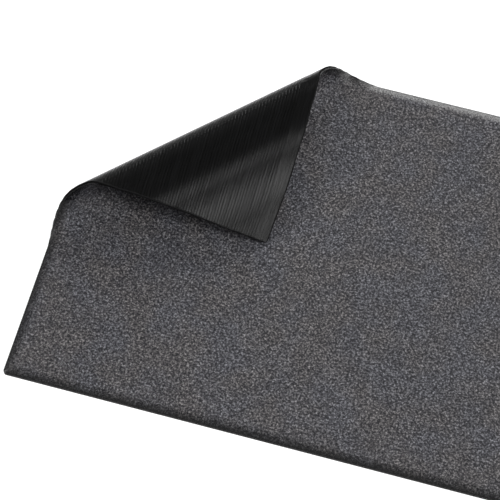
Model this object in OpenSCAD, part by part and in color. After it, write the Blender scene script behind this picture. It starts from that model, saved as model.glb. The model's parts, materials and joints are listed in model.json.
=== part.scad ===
// Floor exercise mat with one corner turned back over its top face.
// Three bonded layers: a pebbled wear skin, a foam core and a ribbed backing.
// The turned corner is a chain of narrow strips on hinge lines, so it unrolls flat.
// Millimetres. X is the long side, Y the short side, Z up. The origin is on the
// floor under the middle of the flat outline. The rib tips lie at z = 0.

/* [Mat] */
// length of the flat mat along X
mat_length = 914.4; // [700:0.1:1200]
// width of the flat mat along Y
mat_width = 609.6; // [480:0.1:800]
// full thickness, from the rib tips to the top of the wear skin
mat_thick = 9.5; // [8:0.1:14]
// radius of the four corners in plan
corner_radius = 6; // [3:0.5:20]

/* [Layers] */
// thickness of the wear skin
skin_thick = 1.5; // [1:0.1:2]
// thickness of the rubber backing, with its ribs
backing_thick = 3.0; // [2.4:0.1:3.4]

/* [Ribs] */
// spacing of the ribs, measured across them
rib_pitch = 4; // [3:0.5:8]
// width of one rib
rib_width = 3.2; // [1.5:0.1:6]
// height of one rib below the backing's web
rib_height = 0.5; // [0.4:0.1:1.4]
// width of the plain margin along each long side
rib_margin = 20; // [8:1:30]
// distance from the ends of the ribs to the short sides
rib_end = 2; // [1:0.5:20]

/* [Edge] */
// how far in from the outline the rolled edge reaches
edge_run = 12.5; // [7:0.5:16]
// height of the upright face at the outline
edge_height = 4.2; // [4:0.1:5.5]

/* [Fold] */
// angle at which the turned corner comes down to the floor
fall_angle = 37.8; // [30:0.2:46]
// distance between the hinge lines where the mat rises off the floor
rise_pitch = 9.4; // [8:0.1:13]
// distance between the hinge lines on the shoulder of the roll
shoulder_pitch = 13.2; // [9:0.1:18]
// distance between the hinge lines at the tight crest
crest_pitch = 4.8; // [4:0.1:9]
// distance from the last crest line to the next one
over_pitch = 8; // [4:0.1:14]
// distance between the first two hinge lines on the way down
return_pitch = 37; // [20:0.5:45]
// distance between the last two hinge lines, where the flap droops
droop_pitch = 61; // [40:0.5:75]
// clearance between neighbouring strips when they lie flat
strip_gap = 0.3; // [0.1:0.05:0.6]
// clearance between the turned corner's tip and the wear skin under it
rest_gap = 0.3; // [0.1:0.05:0.6]

/* [Hidden] */
hinge_count = 14;
rise_lines = 7;
shoulder_lines = 9;
crest_lines = 11;
far = 2000;

// direction of the fold line, from the left edge towards the far edge
fold_angle = 45;

// angle turned at each of the hinge lines
hinge_turn = (180 + fall_angle) / hinge_count;

// distance from hinge line i - 1 to hinge line i; line 1 is where the fold starts
function pitch(i) =
    i <= rise_lines ? rise_pitch :
    i <= shoulder_lines ? shoulder_pitch :
    i <= crest_lines ? crest_pitch :
    i == crest_lines + 1 ? over_pitch :
    i == crest_lines + 2 ? return_pitch : droop_pitch;

// position of hinge line i on the flat mat, from hinge line 1 towards the corner
function flat_s(i) = i <= 1 ? 0 : flat_s(i - 1) + pitch(i);

// angle of the strip that follows hinge line i
function turned(i) = i * hinge_turn;

// position of hinge line i when folded: along the floor, then above the floor
function fold_n(i) = i <= 1 ? 0 : fold_n(i - 1) + pitch(i) * cos(turned(i - 1));
function fold_z(i) = i <= 1 ? mat_thick : fold_z(i - 1) + pitch(i) * sin(turned(i - 1));

// rolled edge: drop below the top face at a distance in from the outline
edge_drop = mat_thick - edge_height;
edge_steps = [[0, 1], [0.12, 0.80], [0.35, 0.48], [0.65, 0.17], [1, 0]];
function drop_at(d) = edge_drop * lookup(d / edge_run, edge_steps);

// how far the last hinge line stands above the flap's resting place
fall_height = fold_z(hinge_count) - mat_thick - rest_gap;

// length of the last flap when the point q in from its corner touches the wear skin
function touch(q) =
    q + (fall_height + drop_at(q / sqrt(2)) * cos(fall_angle)) / sin(fall_angle);

// the first point of the tip's rolled edge to touch sets the length
tip_cut = (sqrt(2) - 1) * corner_radius;
tip_steps = [for (e = edge_steps) if (e[0] * edge_run * sqrt(2) > tip_cut) e[0] * edge_run * sqrt(2)];
flap_length = min([for (q = concat([tip_cut], tip_steps)) touch(q)]);

// distance from the mat's corner to hinge line 1
fold_reach = flat_s(hinge_count) + flap_length;
start_x = -mat_length / 2 + fold_reach * sin(fold_angle);
start_y = mat_width / 2 - fold_reach * cos(fold_angle);

// plan outline with rounded corners, as a block from z = low to z = high
module rounded_block(inset, low, high) {
    r = corner_radius - min(inset, corner_radius - 1);
    x = mat_length / 2 - inset;
    y = mat_width / 2 - inset;
    translate([-x + r, -y, low])
        cube([2 * (x - r), 2 * y, high - low]);
    translate([-x, -y + r, low])
        cube([2 * x, 2 * (y - r), high - low]);
    for (sx = [-1, 1])
        for (sy = [-1, 1])
            translate([sx * (x - r), sy * (y - r), low])
                cylinder(r = r, h = high - low);
}

// half of a cross-section: the rolled edge on the positive side, from the outline inwards
function edge_side(half, lower) =
    [for (e = edge_steps) [half - e[0] * edge_run, mat_thick - lower - edge_drop * e[1]]];
function edge_mirror(half, lower) =
    [for (k = [len(edge_steps) - 1 : -1 : 0])
        [-half + edge_steps[k][0] * edge_run, mat_thick - lower - edge_drop * edge_steps[k][1]]];
function section(half, lower) =
    concat([[half, 0]], edge_side(half, lower), edge_mirror(half, lower), [[-half, 0]]);

// everything under the rolled top face, lowered by a layer's thickness
module under_top(lower) {
    intersection() {
        rotate([90, 0, 90])
            translate([0, 0, -far / 2])
                linear_extrude(height = far)
                    polygon(section(mat_width / 2, lower));
        rotate([90, 0, 0])
            translate([0, 0, -far / 2])
                linear_extrude(height = far)
                    polygon(section(mat_length / 2, lower));
    }
}

// foam core: covered by the skin on top and all round, bonded to the backing below
module core_sheet() {
    intersection() {
        under_top(skin_thick);
        rounded_block(skin_thick, backing_thick, mat_thick);
    }
}

// wear skin: follows the rolled edge down to the backing
module skin_sheet() {
    difference() {
        intersection() {
            under_top(0);
            rounded_block(0, backing_thick, mat_thick + 1);
        }
        intersection() {
            under_top(skin_thick);
            rounded_block(skin_thick, backing_thick - 1, mat_thick);
        }
    }
}

// number of grooves each side of the middle rib
groove_side = floor((mat_width / 2 - rib_margin + rib_width / 2) / rib_pitch);
groove_half = (rib_pitch - rib_width) / 2;
groove_last = (groove_side - 0.5) * rib_pitch + groove_half;

// a comb whose teeth fill the grooves between the ribs, with its back under the floor
comb_back = -2;
comb_root = -1;
comb = concat(
    [for (k = [-groove_side : groove_side - 1])
        for (p = [[-1, comb_root], [-1, rib_height], [1, rib_height], [1, comb_root]])
            [(k + 0.5) * rib_pitch + p[0] * groove_half, p[1]]],
    [[groove_last, comb_back], [-groove_last, comb_back]]
);

// backing: a web with ribs along X on its floor side, between plain margins
module backing_sheet() {
    rib_length = mat_length - 2 * rib_end;
    difference() {
        rounded_block(0, 0, backing_thick);
        rotate([90, 0, 90])
            translate([0, 0, -rib_length / 2])
                linear_extrude(height = rib_length)
                    polygon(comb);
    }
}

// band of the flat mat between two distances from hinge line 1 towards the corner
module band(from, to) {
    translate([start_x, start_y, -5])
        rotate([0, 0, fold_angle])
            translate([-far / 2, from, 0])
                cube([far, to - from, mat_thick + 10]);
}

// turns a body from its flat place to its folded place behind hinge line i
module folded(i) {
    translate([start_x, start_y, 0])
        rotate([0, 0, fold_angle])
            translate([0, fold_n(i), fold_z(i)])
                rotate([turned(i), 0, 0])
                    translate([0, -flat_s(i), -mat_thick])
                        rotate([0, 0, -fold_angle])
                            translate([-start_x, -start_y, 0])
                                children();
}

// the flat panel ends at hinge line 1
module panel() {
    intersection() {
        children();
        band(-far, -strip_gap / 2);
    }
}

// strip i lies between hinge lines i and i + 1
module strip(i) {
    folded(i)
        intersection() {
            children();
            band(flat_s(i) + strip_gap / 2, flat_s(i + 1) - strip_gap / 2);
        }
}

// the corner flap is everything past the last hinge line
module corner() {
    folded(hinge_count)
        intersection() {
            children();
            band(flat_s(hinge_count) + strip_gap / 2, far);
        }
}

module skin_colour() {
    color([0.30, 0.30, 0.31])
        children();
}

module core_colour() {
    color([0.10, 0.10, 0.11])
        children();
}

module backing_colour() {
    color([0.05, 0.05, 0.05])
        children();
}

module panel_skin() {
    skin_colour()
        panel()
            skin_sheet();
}

module panel_core() {
    core_colour()
        panel()
            core_sheet();
}

module panel_backing() {
    backing_colour()
        panel()
            backing_sheet();
}

module strip_01_skin() {
    skin_colour()
        strip(1)
            skin_sheet();
}

module strip_01_core() {
    core_colour()
        strip(1)
            core_sheet();
}

module strip_01_backing() {
    backing_colour()
        strip(1)
            backing_sheet();
}

module strip_02_skin() {
    skin_colour()
        strip(2)
            skin_sheet();
}

module strip_02_core() {
    core_colour()
        strip(2)
            core_sheet();
}

module strip_02_backing() {
    backing_colour()
        strip(2)
            backing_sheet();
}

module strip_03_skin() {
    skin_colour()
        strip(3)
            skin_sheet();
}

module strip_03_core() {
    core_colour()
        strip(3)
            core_sheet();
}

module strip_03_backing() {
    backing_colour()
        strip(3)
            backing_sheet();
}

module strip_04_skin() {
    skin_colour()
        strip(4)
            skin_sheet();
}

module strip_04_core() {
    core_colour()
        strip(4)
            core_sheet();
}

module strip_04_backing() {
    backing_colour()
        strip(4)
            backing_sheet();
}

module strip_05_skin() {
    skin_colour()
        strip(5)
            skin_sheet();
}

module strip_05_core() {
    core_colour()
        strip(5)
            core_sheet();
}

module strip_05_backing() {
    backing_colour()
        strip(5)
            backing_sheet();
}

module strip_06_skin() {
    skin_colour()
        strip(6)
            skin_sheet();
}

module strip_06_core() {
    core_colour()
        strip(6)
            core_sheet();
}

module strip_06_backing() {
    backing_colour()
        strip(6)
            backing_sheet();
}

module strip_07_skin() {
    skin_colour()
        strip(7)
            skin_sheet();
}

module strip_07_core() {
    core_colour()
        strip(7)
            core_sheet();
}

module strip_07_backing() {
    backing_colour()
        strip(7)
            backing_sheet();
}

module strip_08_skin() {
    skin_colour()
        strip(8)
            skin_sheet();
}

module strip_08_core() {
    core_colour()
        strip(8)
            core_sheet();
}

module strip_08_backing() {
    backing_colour()
        strip(8)
            backing_sheet();
}

module strip_09_skin() {
    skin_colour()
        strip(9)
            skin_sheet();
}

module strip_09_core() {
    core_colour()
        strip(9)
            core_sheet();
}

module strip_09_backing() {
    backing_colour()
        strip(9)
            backing_sheet();
}

module strip_10_skin() {
    skin_colour()
        strip(10)
            skin_sheet();
}

module strip_10_core() {
    core_colour()
        strip(10)
            core_sheet();
}

module strip_10_backing() {
    backing_colour()
        strip(10)
            backing_sheet();
}

module strip_11_skin() {
    skin_colour()
        strip(11)
            skin_sheet();
}

module strip_11_core() {
    core_colour()
        strip(11)
            core_sheet();
}

module strip_11_backing() {
    backing_colour()
        strip(11)
            backing_sheet();
}

module strip_12_skin() {
    skin_colour()
        strip(12)
            skin_sheet();
}

module strip_12_core() {
    core_colour()
        strip(12)
            core_sheet();
}

module strip_12_backing() {
    backing_colour()
        strip(12)
            backing_sheet();
}

module strip_13_skin() {
    skin_colour()
        strip(13)
            skin_sheet();
}

module strip_13_core() {
    core_colour()
        strip(13)
            core_sheet();
}

module strip_13_backing() {
    backing_colour()
        strip(13)
            backing_sheet();
}

module corner_skin() {
    skin_colour()
        corner()
            skin_sheet();
}

module corner_core() {
    core_colour()
        corner()
            core_sheet();
}

module corner_backing() {
    backing_colour()
        corner()
            backing_sheet();
}

panel_skin();
panel_core();
panel_backing();
strip_01_skin();
strip_01_core();
strip_01_backing();
strip_02_skin();
strip_02_core();
strip_02_backing();
strip_03_skin();
strip_03_core();
strip_03_backing();
strip_04_skin();
strip_04_core();
strip_04_backing();
strip_05_skin();
strip_05_core();
strip_05_backing();
strip_06_skin();
strip_06_core();
strip_06_backing();
strip_07_skin();
strip_07_core();
strip_07_backing();
strip_08_skin();
strip_08_core();
strip_08_backing();
strip_09_skin();
strip_09_core();
strip_09_backing();
strip_10_skin();
strip_10_core();
strip_10_backing();
strip_11_skin();
strip_11_core();
strip_11_backing();
strip_12_skin();
strip_12_core();
strip_12_backing();
strip_13_skin();
strip_13_core();
strip_13_backing();
corner_skin();
corner_core();
corner_backing();
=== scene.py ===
import json
import math

import bmesh
import bpy
import numpy as np
from mathutils import Matrix, Vector

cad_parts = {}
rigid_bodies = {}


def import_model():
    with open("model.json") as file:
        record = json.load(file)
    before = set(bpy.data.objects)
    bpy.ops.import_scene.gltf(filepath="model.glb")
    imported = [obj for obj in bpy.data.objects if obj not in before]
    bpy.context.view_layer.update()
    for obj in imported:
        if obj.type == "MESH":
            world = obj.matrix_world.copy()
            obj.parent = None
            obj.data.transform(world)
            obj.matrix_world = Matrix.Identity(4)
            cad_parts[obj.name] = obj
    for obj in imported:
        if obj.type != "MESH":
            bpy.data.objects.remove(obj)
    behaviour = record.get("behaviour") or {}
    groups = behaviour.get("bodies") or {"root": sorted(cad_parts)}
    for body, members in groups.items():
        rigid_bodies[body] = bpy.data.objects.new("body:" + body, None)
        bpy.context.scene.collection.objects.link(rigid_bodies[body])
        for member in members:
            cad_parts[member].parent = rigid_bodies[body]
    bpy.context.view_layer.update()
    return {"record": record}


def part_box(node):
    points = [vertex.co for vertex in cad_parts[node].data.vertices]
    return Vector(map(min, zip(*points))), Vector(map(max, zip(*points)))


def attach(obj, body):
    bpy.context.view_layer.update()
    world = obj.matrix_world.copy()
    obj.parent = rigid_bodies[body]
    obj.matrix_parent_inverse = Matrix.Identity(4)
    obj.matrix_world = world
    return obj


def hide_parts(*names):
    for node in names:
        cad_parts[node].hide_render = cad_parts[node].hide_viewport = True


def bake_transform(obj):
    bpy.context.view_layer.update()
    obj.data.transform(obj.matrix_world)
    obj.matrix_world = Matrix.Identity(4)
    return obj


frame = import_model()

# ---------------------------------------------------------------- sizes from the frame, in metres
joints = sorted(frame["record"]["behaviour"]["joints"], key=lambda j: j["name"])
COUNT = len(joints)
BODIES = [joints[0]["parent"]] + [j["child"] for j in joints]

panel_low, panel_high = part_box("panel_skin")
_, backing_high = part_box("panel_backing")
_, core_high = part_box("panel_core")
HALF_X = panel_high[0]
HALF_Y = -panel_low[1]
TOP = panel_high[2]
WEB = backing_high[2]
SKIN = TOP - core_high[2]

# ---------------------------------------------------------------- sizes of the details
RIB_PITCH = 0.004
RIB_WIDTH = 0.0032
RIB_HEIGHT = 0.0005
RIB_MARGIN = 0.020  # plain strip along the long sides
RIB_END = 0.002  # plain strip at the ends of the ribs
RIB_FADE = 0.0004  # half the length over which a groove runs out
EDGE_RUN = 0.018
EDGE_HEIGHT = 0.0042
EDGE_POWER = 1.9  # above 1, so that the edge falls off more steeply towards the outline
CORNER_R = 0.006
LAST_BEND = 0.040  # how far the last bend reaches past its hinge line
LAYER_GAP = 0.00004

# ---------------------------------------------------------------- the fold, from the hinge lines
# s is the flat distance past hinge line 1, n the same distance in plan once folded
FOLD_DIR = np.array([math.sqrt(0.5), math.sqrt(0.5)])
CORNER_DIR = np.array([-math.sqrt(0.5), math.sqrt(0.5)])
START = np.array(joints[0]["pos_m"][:2])
hinge_n = [float((np.array(j["pos_m"][:2]) - START) @ CORNER_DIR) for j in joints]
hinge_z = [j["pos_m"][2] for j in joints]
hinge_s = [0.0]
for i in range(1, COUNT):
    pitch = math.hypot(hinge_n[i] - hinge_n[i - 1], hinge_z[i] - hinge_z[i - 1])
    hinge_s.append(hinge_s[-1] + pitch)

# turn at one hinge line, from the slope of the strip between the last two lines
last_slope = math.atan2(hinge_z[-1] - hinge_z[-2], hinge_n[-1] - hinge_n[-2]) % (2 * math.pi)
TURN = last_slope / (COUNT - 1)

# the sheet bends between the middles of neighbouring strips
half_first = (hinge_s[1] - hinge_s[0]) / 2
middles = [(a + b) / 2 for a, b in zip(hinge_s, hinge_s[1:])]
sections = [-half_first] + middles + [hinge_s[-1] + LAST_BEND]

# the corner's own square of the sheet, which holds everything past the first section
CORNER_SPARE = 0.004
reach = float((np.array([-HALF_X, HALF_Y]) - START) @ CORNER_DIR)
corner_side = math.sqrt(2) * (reach - sections[0]) + CORNER_SPARE


def strip_direction(i):
    """Direction of the strip after hinge line i, with 0 the panel."""
    a = i * TURN
    return np.array([math.cos(a), math.sin(a)])


def span_point(k, q):
    """Folded top face at distance q into the span round hinge line k."""
    hinge = np.array([hinge_n[k - 1], hinge_z[k - 1]])
    a = hinge_s[k - 1] - sections[k - 1]
    b = sections[k] - hinge_s[k - 1]
    q = np.clip(q, 0, a + b)
    # a quadratic curve through both ends, with the hinge line as its control point:
    # q = 2 a t (1 - t) + (a + b) t^2 gives its parameter t
    square = b - a
    if abs(square) < 1e-9:
        t = q / (2 * a)
    else:
        t = (-2 * a + np.sqrt(np.maximum(4 * a * a + 4 * square * q, 0))) / (2 * square)
    t = np.clip(t, 0, 1)
    curve = np.outer((1 - t) ** 2, hinge - strip_direction(k - 1) * a)
    curve += np.outer(2 * t * (1 - t), hinge)
    curve += np.outer(t * t, hinge + strip_direction(k) * b)
    # half way from there to the shape that unrolls flat
    share = q / (a + b)
    angle = (k - 1 + share * share * (3 - 2 * share)) * TURN
    flattens = hinge + (q - a)[:, None] * np.column_stack([np.cos(angle), np.sin(angle)])
    return (curve + flattens) / 2


def folded(s, z):
    """Flat distances s past hinge line 1 and heights z, to the folded section's n and z."""
    nudge = 1e-5
    n_out = s.copy()
    z_out = z.copy()
    for k in range(1, COUNT + 1):
        pick = (s >= sections[k - 1]) & (s <= sections[k])
        if not pick.any():
            continue
        q = s[pick] - sections[k - 1]
        p = span_point(k, q)
        d = span_point(k, q + nudge) - span_point(k, q - nudge)
        d /= np.linalg.norm(d, axis=1)[:, None]
        above = z[pick] - TOP
        n_out[pick] = p[:, 0] - d[:, 1] * above
        z_out[pick] = p[:, 1] + d[:, 0] * above
    last = s > sections[COUNT]
    if last.any():
        d = strip_direction(COUNT)
        along = s[last] - hinge_s[COUNT - 1]
        above = z[last] - TOP
        n_out[last] = hinge_n[COUNT - 1] + d[0] * along - d[1] * above
        z_out[last] = hinge_z[COUNT - 1] + d[1] * along + d[0] * above
    return n_out, z_out


def place(flat):
    """Points of the flat mat to their places at rest."""
    from_start = flat[:, :2] - START
    s = from_start @ CORNER_DIR
    n, z = folded(s, flat[:, 2])
    xy = START + np.outer(from_start @ FOLD_DIR, FOLD_DIR) + np.outer(n, CORNER_DIR)
    moved = s > sections[0]
    out = flat.copy()
    out[moved, :2] = xy[moved]
    out[moved, 2] = z[moved]
    return out


def section_point(s):
    """Point of the folded top face on the section at flat distance s."""
    n, z = folded(np.array([s]), np.array([TOP]))
    p = START + CORNER_DIR * n[0]
    return (float(p[0]), float(p[1]), float(z[0]))


# ---------------------------------------------------------------- flat layers, before bending
def edge_drop(d):
    """Drop of the rolled edge below the top face, at distance d in from the outline."""
    u = np.clip(d / EDGE_RUN, 0, 1)
    return (TOP - EDGE_HEIGHT) * (1 - u) ** EDGE_POWER


def round_corners(xy):
    """Squeezes the outermost squares of the grid into quarter circles."""
    out = xy.copy()
    ax = np.abs(xy[:, 0]) - (HALF_X - CORNER_R)
    ay = np.abs(xy[:, 1]) - (HALF_Y - CORNER_R)
    pick = (ax > 0) & (ay > 0)
    p, q = ax[pick], ay[pick]
    r = np.maximum(p, q)
    ang = np.where(p >= q, (math.pi / 4) * q / np.maximum(p, 1e-9),
                   math.pi / 2 - (math.pi / 4) * p / np.maximum(q, 1e-9))
    out[pick, 0] = np.sign(xy[pick, 0]) * ((HALF_X - CORNER_R) + r * np.cos(ang))
    out[pick, 1] = np.sign(xy[pick, 1]) * ((HALF_Y - CORNER_R) + r * np.sin(ang))
    return out


def inset(xy):
    """Distance in from the outline on the square grid, before the corners are rounded."""
    return np.minimum(HALF_X - np.abs(xy[:, 0]), HALF_Y - np.abs(xy[:, 1]))


# distances in from the outline: grid lines of the rolled edge, closest where it is steepest
EDGE_STEPS = [
    0, 0.0004, 0.001, 0.0018, 0.0028, 0.004, 0.0056,
    0.0074, 0.0094, 0.0116, 0.014, 0.016, 0.018,
]
# and rows of the backing's plain margin, one of them just inside the rounded corner
MARGIN_STEPS = [0, 0.003, CORNER_R - 0.00001, 0.010]


def margin_rows(low, high):
    """Rows of the backing's grid in its plain margins, from low to high."""
    rows = [v for m in MARGIN_STEPS for v in (-HALF_Y + m, HALF_Y - m)]
    return [round(v, 7) for v in rows if low <= v <= high]


def lines(low, high, half, step, extra=()):
    """Grid lines from low to high, close together in the rolled edges."""
    pts = set()
    for e in EDGE_STEPS:
        for v in (-half + e, half - e):
            if low - 1e-9 <= v <= high + 1e-9:
                pts.add(round(v, 7))
    a = max(low, -half + EDGE_RUN)
    b = min(high, half - EDGE_RUN)
    count = max(1, int(round((b - a) / step)))
    for k in range(count + 1):
        pts.add(round(a + (b - a) * k / count, 7))
    for v in extra:
        if low <= v <= high:
            pts.add(round(v, 7))
    return sorted(pts)


def sheet_mesh(xs, ys, upper, lower):
    """Closed slab over the grid of xs and ys, between two height functions of the grid's points."""
    nx, ny = len(xs), len(ys)
    grid_x, grid_y = np.meshgrid(xs, ys, indexing="ij")
    xy = np.column_stack([grid_x.ravel(), grid_y.ravel()])
    placed = round_corners(xy)
    up = np.column_stack([placed, upper(xy)])
    dn = np.column_stack([placed, lower(xy)])
    n = nx * ny
    idx = np.arange(n).reshape(nx, ny)
    a, b, c, d = idx[:-1, :-1], idx[1:, :-1], idx[1:, 1:], idx[:-1, 1:]
    quads = np.stack([a, b, c, d], -1).reshape(-1, 4)
    ring = np.concatenate([idx[:, 0], idx[-1, 1:], idx[-2::-1, -1], idx[0, -2:0:-1]])
    nxt = np.roll(ring, -1)
    sides = np.stack([ring + n, nxt + n, nxt, ring], -1)
    return np.vstack([up, dn]), np.vstack([quads, quads[:, ::-1] + n, sides])


def make_bmesh(verts, faces):
    bm = bmesh.new()
    vs = [bm.verts.new(v) for v in verts]
    bm.verts.ensure_lookup_table()
    for f in faces:
        bm.faces.new([vs[i] for i in f])
    bm.normal_update()
    return bm


def cut(bm, s, keep_far):
    """Cuts the flat sheet along the line at distance s past hinge line 1, and closes the cut."""
    co = Vector((*(START + CORNER_DIR * s), 0))
    no = Vector((*CORNER_DIR, 0))
    geom = list(bm.verts) + list(bm.edges) + list(bm.faces)
    got = bmesh.ops.bisect_plane(bm, geom=geom, dist=1e-7, plane_co=co, plane_no=no,
                                 clear_inner=keep_far, clear_outer=not keep_far)
    edges = [e for e in got["geom_cut"] if isinstance(e, bmesh.types.BMEdge)]
    edges = [e for e in edges if e.is_valid and len(e.link_faces) == 1]
    if edges:
        bmesh.ops.triangle_fill(bm, use_beauty=False, use_dissolve=False, edges=edges)
    bmesh.ops.recalc_face_normals(bm, faces=list(bm.faces))


def finish_piece(bm, name, material):
    """Bends the flat bmesh to its rest place and makes the object."""
    bm.verts.ensure_lookup_table()
    flat = np.array([v.co for v in bm.verts], float).reshape(-1, 3)
    me = bpy.data.meshes.new(name)
    bm.to_mesh(me)
    bm.free()
    me.vertices.foreach_set("co", place(flat).astype(np.float32).ravel())
    co = me.attributes.new("mat_co", "FLOAT_VECTOR", "POINT")
    co.data.foreach_set("vector", flat.astype(np.float32).ravel())
    me.update()
    me.polygons.foreach_set("use_smooth", [True] * len(me.polygons))
    me.set_sharp_from_angle(angle=math.radians(40))
    obj = bpy.data.objects.new(name, me)
    bpy.context.scene.collection.objects.link(obj)
    me.materials.append(material)
    return obj


# ---------------------------------------------------------------- node helpers
def grey(value):
    return (value, value, value)


def new_material(name):
    """An empty material with one Principled shader: the material, its tree and the shader."""
    mat = bpy.data.materials.new(name)
    mat.use_nodes = True
    nt = mat.node_tree
    nt.nodes.clear()
    out = nt.nodes.new("ShaderNodeOutputMaterial")
    bsdf = nt.nodes.new("ShaderNodeBsdfPrincipled")
    nt.links.new(bsdf.outputs["BSDF"], out.inputs["Surface"])
    return mat, nt, bsdf


def node(nt, kind, **settings):
    n = nt.nodes.new(kind)
    for k, v in settings.items():
        setattr(n, k, v)
    return n


def mat_coord(nt):
    return node(nt, "ShaderNodeAttribute", attribute_name="mat_co").outputs["Vector"]


def noise(nt, vector, scale, detail=2.0, rough=0.5):
    n = node(nt, "ShaderNodeTexNoise")
    n.inputs["Scale"].default_value = scale
    n.inputs["Detail"].default_value = detail
    n.inputs["Roughness"].default_value = rough
    nt.links.new(vector, n.inputs["Vector"])
    return n.outputs["Fac"]


def cell_distance(nt, vector, scale):
    """Distance from the middle of the nearest cell of a random pattern."""
    n = node(nt, "ShaderNodeTexVoronoi", feature="F1")
    n.inputs["Scale"].default_value = scale
    nt.links.new(vector, n.inputs["Vector"])
    return n.outputs["Distance"]


def ramp(nt, value, stops):
    n = node(nt, "ShaderNodeValToRGB")
    el = n.color_ramp.elements
    while len(el) < len(stops):
        el.new(0.5)
    for e, (pos, col) in zip(el, stops):
        e.position = pos
        e.color = (*col, 1)
    nt.links.new(value, n.inputs["Fac"])
    return n.outputs["Color"]


def maths(nt, op, *values):
    n = node(nt, "ShaderNodeMath", operation=op)
    for i, v in enumerate(values):
        if isinstance(v, (int, float)):
            n.inputs[i].default_value = v
        else:
            nt.links.new(v, n.inputs[i])
    return n.outputs[0]


def shows_background(nt):
    """1 for the rays that show the background: camera, glossy and transmission rays."""
    path = node(nt, "ShaderNodeLightPath")
    seen = maths(nt, "MAXIMUM", path.outputs["Is Camera Ray"], path.outputs["Is Glossy Ray"])
    return maths(nt, "MAXIMUM", seen, path.outputs["Is Transmission Ray"])


def mix_colour(nt, fac, a, b, mode="MIX"):
    n = node(nt, "ShaderNodeMix", data_type="RGBA", blend_type=mode)
    for key, v in (("Factor", fac), ("A", a), ("B", b)):
        sock = [s for s in n.inputs if s.name == key and s.enabled][0]
        if isinstance(v, (int, float)):
            sock.default_value = v
        elif isinstance(v, tuple):
            sock.default_value = (*v, 1)
        else:
            nt.links.new(v, sock)
    return [s for s in n.outputs if s.enabled][0]


def tinted(nt, a, b):
    """Colour a times colour b."""
    return mix_colour(nt, 1.0, a, b, "MULTIPLY")


def set_bump(nt, bsdf, height, strength, distance):
    bump = node(nt, "ShaderNodeBump")
    if isinstance(strength, (int, float)):
        bump.inputs["Strength"].default_value = strength
    else:
        nt.links.new(strength, bump.inputs["Strength"])
    bump.inputs["Distance"].default_value = distance
    nt.links.new(height, bump.inputs["Height"])
    nt.links.new(bump.outputs["Normal"], bsdf.inputs["Normal"])


# ---------------------------------------------------------------- materials
def border_share(nt, vec, start, stop):
    """1 up to the distance start in from the outline, falling to 0 at the distance stop."""
    xyz = node(nt, "ShaderNodeSeparateXYZ")
    nt.links.new(vec, xyz.inputs[0])
    inx = maths(nt, "SUBTRACT", HALF_X, maths(nt, "ABSOLUTE", xyz.outputs["X"]))
    iny = maths(nt, "SUBTRACT", HALF_Y, maths(nt, "ABSOLUTE", xyz.outputs["Y"]))
    n = node(nt, "ShaderNodeMapRange")
    nt.links.new(maths(nt, "MINIMUM", inx, iny), n.inputs["Value"])
    n.inputs["From Min"].default_value = start
    n.inputs["From Max"].default_value = stop
    n.inputs["To Min"].default_value = 1.0
    n.inputs["To Max"].default_value = 0.0
    return n.outputs["Result"]


def skin_material():
    mat, nt, bsdf = new_material("pebbled_vinyl")
    vec = mat_coord(nt)
    # pebbles 3 to 4 mm across, with finer pits between them
    cells = cell_distance(nt, vec, 270)
    grain = noise(nt, vec, 340, rough=0.6)
    fine = noise(nt, vec, 720, detail=1.0)
    # speckled colour at the grain's own scale
    speck = ramp(nt, grain, [
        (0.36, (0.004, 0.004, 0.006)),
        (0.45, (0.032, 0.031, 0.035)),
        (0.54, (0.070, 0.069, 0.073)),
        (0.66, (0.158, 0.156, 0.162)),
    ])
    colour = tinted(nt, speck, ramp(nt, cells, [(0.15, grey(1.20)), (0.75, grey(0.60))]))
    colour = tinted(nt, colour, ramp(nt, fine, [(0.36, grey(0.35)), (0.62, grey(1.35))]))
    # faint warm and cool patches
    patches = noise(nt, vec, 16)
    tint = ramp(nt, patches, [(0.38, (1.03, 0.99, 0.96)), (0.62, (0.97, 0.99, 1.05))])
    colour = tinted(nt, colour, tint)
    # the rolled border is pressed smoother than the field, and its colour darkens towards the
    # outline as painted shade for the edge that turns away from the light
    border = border_share(nt, vec, 0.001, EDGE_RUN * 0.9)
    # painted shade: the colour falls to 0.06 of the field's at the outline
    colour = tinted(nt, colour, mix_colour(nt, border, grey(1.0), grey(0.06)))
    nt.links.new(colour, bsdf.inputs["Base Color"])
    rough = ramp(nt, fine, [(0.3, grey(0.60)), (0.7, grey(0.76))])
    polish = maths(nt, "MINIMUM", maths(nt, "MULTIPLY", border, 2.2), 0.62)
    rough = maths(nt, "MULTIPLY", rough, maths(nt, "SUBTRACT", 1.0, polish))
    nt.links.new(rough, bsdf.inputs["Roughness"])
    bsdf.inputs["Specular IOR Level"].default_value = 0.2
    height = maths(nt, "SUBTRACT", grain, maths(nt, "MULTIPLY", cells, 0.6))
    height = maths(nt, "ADD", height, maths(nt, "MULTIPLY", fine, 0.15))
    strength = maths(nt, "SUBTRACT", 0.8, maths(nt, "MULTIPLY", border, 0.6))
    set_bump(nt, bsdf, height, strength, 0.0012)
    return mat


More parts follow.
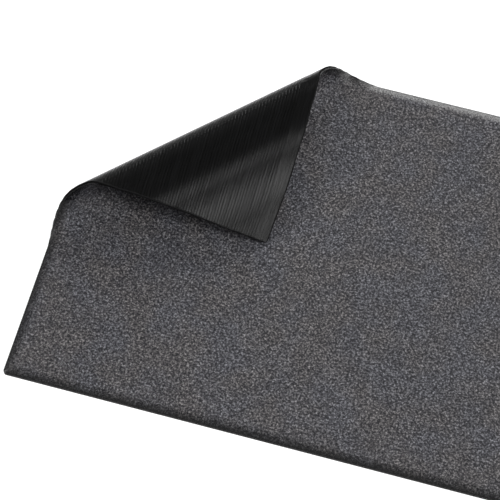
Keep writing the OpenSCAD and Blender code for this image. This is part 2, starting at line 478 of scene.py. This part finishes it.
def backing_material():
    mat, nt, bsdf = new_material("ribbed_rubber")
    vec = mat_coord(nt)
    grain = noise(nt, vec, 520, rough=0.6)
    patches = noise(nt, vec, 30)
    # streaks drawn out along the ribs, as on a rolled sheet
    stretch = node(nt, "ShaderNodeMapping")
    stretch.inputs["Scale"].default_value = (9, 300, 60)
    nt.links.new(vec, stretch.inputs["Vector"])
    streak = noise(nt, stretch.outputs["Vector"], 1.0, rough=0.6)
    base = ramp(nt, streak, [(0.38, grey(0.0006)), (0.62, (0.0024, 0.0024, 0.0025))])
    dust = ramp(nt, patches, [(0.35, grey(0.85)), (0.7, (1.25, 1.25, 1.27))])
    nt.links.new(tinted(nt, base, dust), bsdf.inputs["Base Color"])
    rough = ramp(nt, streak, [(0.35, grey(0.28)), (0.65, grey(0.18))])
    # the trimmed edge is rougher than the face
    trim = maths(nt, "MULTIPLY", border_share(nt, vec, 0.0006, 0.0028), 0.9)
    nt.links.new(maths(nt, "MAXIMUM", rough, trim), bsdf.inputs["Roughness"])
    bsdf.inputs["Specular IOR Level"].default_value = 0.06
    height = maths(nt, "ADD", maths(nt, "MULTIPLY", grain, 0.5), streak)
    set_bump(nt, bsdf, height, 0.8, 0.0004)
    return mat


def core_material():
    mat, nt, bsdf = new_material("foam")
    cells = cell_distance(nt, mat_coord(nt), 1400)
    colour = ramp(nt, cells, [(0.1, (0.008, 0.008, 0.009)), (0.6, (0.028, 0.028, 0.030))])
    nt.links.new(colour, bsdf.inputs["Base Color"])
    bsdf.inputs["Roughness"].default_value = 0.95
    set_bump(nt, bsdf, cells, 0.6, 0.0004)
    return mat


# each layer's material, and the slot it goes in
LOOK = {
    "skin": (skin_material(), "wear_skin"),
    "backing": (backing_material(), "ribbed_backing"),
    "core": (core_material(), "foam_core"),
}


# ---------------------------------------------------------------- layers
def skin_upper(xy):
    return TOP - edge_drop(inset(xy))


def skin_lower(xy):
    return np.maximum(skin_upper(xy) - SKIN, WEB + LAYER_GAP)


def core_upper(xy):
    return np.maximum(TOP - SKIN - LAYER_GAP - edge_drop(inset(xy)), WEB + 2 * LAYER_GAP)


def core_lower(xy):
    return np.full(len(xy), WEB + LAYER_GAP)


def backing_upper(xy):
    return np.full(len(xy), WEB)


# half of a groove between two ribs: distance from its middle, and share of the full depth there
GROOVE = [(0.00015, 1.0), (0.0004, 0.35), (0.0006, 0.0)]
GROOVE_SIDE = math.floor((HALF_Y - RIB_MARGIN + RIB_WIDTH / 2) / RIB_PITCH + 1e-6)
FIELD_X = HALF_X - RIB_END


def backing_lower(xy):
    """Floor side of the backing: grooves inside the plain margin."""
    k = np.floor(xy[:, 1] / RIB_PITCH)
    d = np.abs(xy[:, 1] - (k + 0.5) * RIB_PITCH)
    depth = np.interp(d, [p[0] for p in GROOVE], [p[1] for p in GROOVE])
    depth[(k < -GROOVE_SIDE) | (k >= GROOVE_SIDE)] = 0
    ends = np.clip((FIELD_X + RIB_FADE - np.abs(xy[:, 0])) / (2 * RIB_FADE), 0, 1)
    return RIB_HEIGHT * depth * ends


def rib_lines(low, high):
    """Rows of the backing's grid on the bends of the grooves, between low and high."""
    out = []
    for k in range(-GROOVE_SIDE, GROOVE_SIDE):
        for d, _ in GROOVE:
            for sign in (-1, 1):
                v = (k + 0.5) * RIB_PITCH + sign * d
                if low < v < high:
                    out.append(v)
    return out


# grid steps along x (and, but for the backing, y): the flat panel's, and the bent corner's
PANEL_STEP = {"skin": 0.04, "core": 0.04, "backing": 0.09}
CORNER_STEP = {"skin": 0.0025, "core": 0.004, "backing": 0.003}


def layer(kind, fine):
    """The whole flat layer, coarse for the panel, or its corner square, fine enough to bend."""
    x1 = -HALF_X + corner_side if fine else HALF_X
    y0 = HALF_Y - corner_side if fine else -HALF_Y
    step = (CORNER_STEP if fine else PANEL_STEP)[kind]
    if kind == "backing":
        ends = [side * (FIELD_X + d) for side in (-1, 1) for d in (-RIB_FADE, RIB_FADE)]
        xs = lines(-HALF_X, x1, HALF_X, step, extra=ends)
        rows = [round(v, 7) for v in [y0, HALF_Y] + rib_lines(y0, HALF_Y)]
        ys = sorted(set(rows + margin_rows(y0, HALF_Y)))
        return make_bmesh(*sheet_mesh(xs, ys, backing_upper, backing_lower))
    xs = lines(-HALF_X, x1, HALF_X, step)
    ys = lines(y0, HALF_Y, HALF_Y, step)
    if kind == "skin":
        return make_bmesh(*sheet_mesh(xs, ys, skin_upper, skin_lower))
    return make_bmesh(*sheet_mesh(xs, ys, core_upper, core_lower))


def lay(kind):
    """Makes one layer: the panel, a bend round each hinge line, and the turned corner."""
    material, slot_name = LOOK[kind]
    panel = layer(kind, False)
    cut(panel, sections[0], keep_far=False)
    piece = finish_piece(panel, f"mat_{kind}_panel", material)
    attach(piece, BODIES[0])
    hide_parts(f"{BODIES[0]}_{kind}")
    rest = layer(kind, True)
    cut(rest, sections[0], keep_far=True)
    for k in range(1, COUNT + 1):
        part = rest.copy()
        cut(part, sections[k], keep_far=False)
        cut(rest, sections[k], keep_far=True)
        piece = finish_piece(part, f"mat_{kind}_bend_{k:02d}", material)
        if k < COUNT:
            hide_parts(f"{BODIES[k]}_{kind}")
        low_end = section_point(sections[k - 1])
        high_end = section_point(sections[k])
        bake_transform(piece)
    piece = finish_piece(rest, f"mat_{kind}_corner", material)
    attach(piece, BODIES[COUNT])
    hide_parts(f"{BODIES[COUNT]}_{kind}")


for kind in ("skin", "core", "backing"):
    lay(kind)

# ---------------------------------------------------------------- floor
bpy.ops.mesh.primitive_plane_add(size=60, location=(0, 0, 0))
floor = bpy.context.object
floor.name = "studio_floor"
mat, nt, bsdf = new_material("studio_white")
bsdf.inputs["Base Color"].default_value = (*grey(0.40), 1)
bsdf.inputs["Roughness"].default_value = 0.9
bsdf.inputs["Specular IOR Level"].default_value = 0.1
bsdf.inputs["Emission Color"].default_value = (1, 1, 1, 1)
glow = maths(nt, "MULTIPLY", shows_background(nt), 0.75)
nt.links.new(glow, bsdf.inputs["Emission Strength"])
floor.data.materials.append(mat)

# ---------------------------------------------------------------- light
# white all round for the camera and in reflections, and a low even fill on the object
world = bpy.data.worlds.new("studio")
bpy.context.scene.world = world
world.use_nodes = True
tree = world.node_tree
tree.nodes.clear()
surround = tree.nodes.new("ShaderNodeBackground")
surround.inputs["Color"].default_value = (1, 1, 1, 1)
strength = maths(tree, "MAXIMUM", shows_background(tree), 0.10)
tree.links.new(strength, surround.inputs["Strength"])
world_out = tree.nodes.new("ShaderNodeOutputWorld")
tree.links.new(surround.outputs[0], world_out.inputs["Surface"])


def area(name, direction, distance, size, power, target=(0, 0, 0)):
    """A rectangular lamp at the distance from target, in the direction, that faces target."""
    data = bpy.data.lights.new(name, "AREA")
    data.shape = "RECTANGLE"
    data.size, data.size_y = size
    data.energy = power
    obj = bpy.data.objects.new(name, data)
    d = Vector(direction).normalized()
    obj.location = Vector(target) + d * distance
    obj.rotation_euler = (-d).to_track_quat("-Z", "Y").to_euler()
    bpy.context.scene.collection.objects.link(obj)


# name, direction from the target, distance, size, watts
area("key", (0.57, -0.24, 0.785), 20.0, (4.2, 14.0), 3600)
area("back", (-0.04, 0.92, 0.38), 9.0, (2.6, 5.0), 510)
area("side", (0.36, 0.74, 0.57), 9.0, (3.6, 2.6), 210)
area("crest", (-0.22, 0.53, 0.82), 6.0, (0.7, 0.7), 7, target=(-0.3, 0.2, 0))
area("right", (0.91, 0.17, 0.37), 5.0, (1.7, 1.7), 95)
area("fill", (-0.75, -0.25, 0.62), 3.0, (1.5, 1.5), 40)

# ---------------------------------------------------------------- camera
AZ = math.radians(15.95)
EL = math.radians(61.81)
DISTANCE = 4.657
LENS_MM = 229.985
SENSOR_MM = 36
# the middle of the mat is this far right of the middle of the view, and this far below it
ASIDE = 0.16883
BELOW = 0.030325
right = Vector((math.cos(AZ), math.sin(AZ), 0))
back = Vector((math.sin(AZ) * math.cos(EL), -math.cos(AZ) * math.cos(EL), math.sin(EL)))
up = back.cross(right)
cam_data = bpy.data.cameras.new("camera")
cam_data.sensor_width = SENSOR_MM
cam_data.lens = LENS_MM
cam_data.clip_start = 0.1
cam_data.clip_end = 200
cam = bpy.data.objects.new("camera", cam_data)
cam.matrix_world = Matrix((
    (right.x, up.x, back.x, 0),
    (right.y, up.y, back.y, 0),
    (right.z, up.z, back.z, 0),
    (0, 0, 0, 1),
))
cam.location = back * DISTANCE - right * ASIDE + up * BELOW
bpy.context.scene.collection.objects.link(cam)
bpy.context.scene.camera = cam
bpy.context.scene.view_settings.view_transform = "Standard"
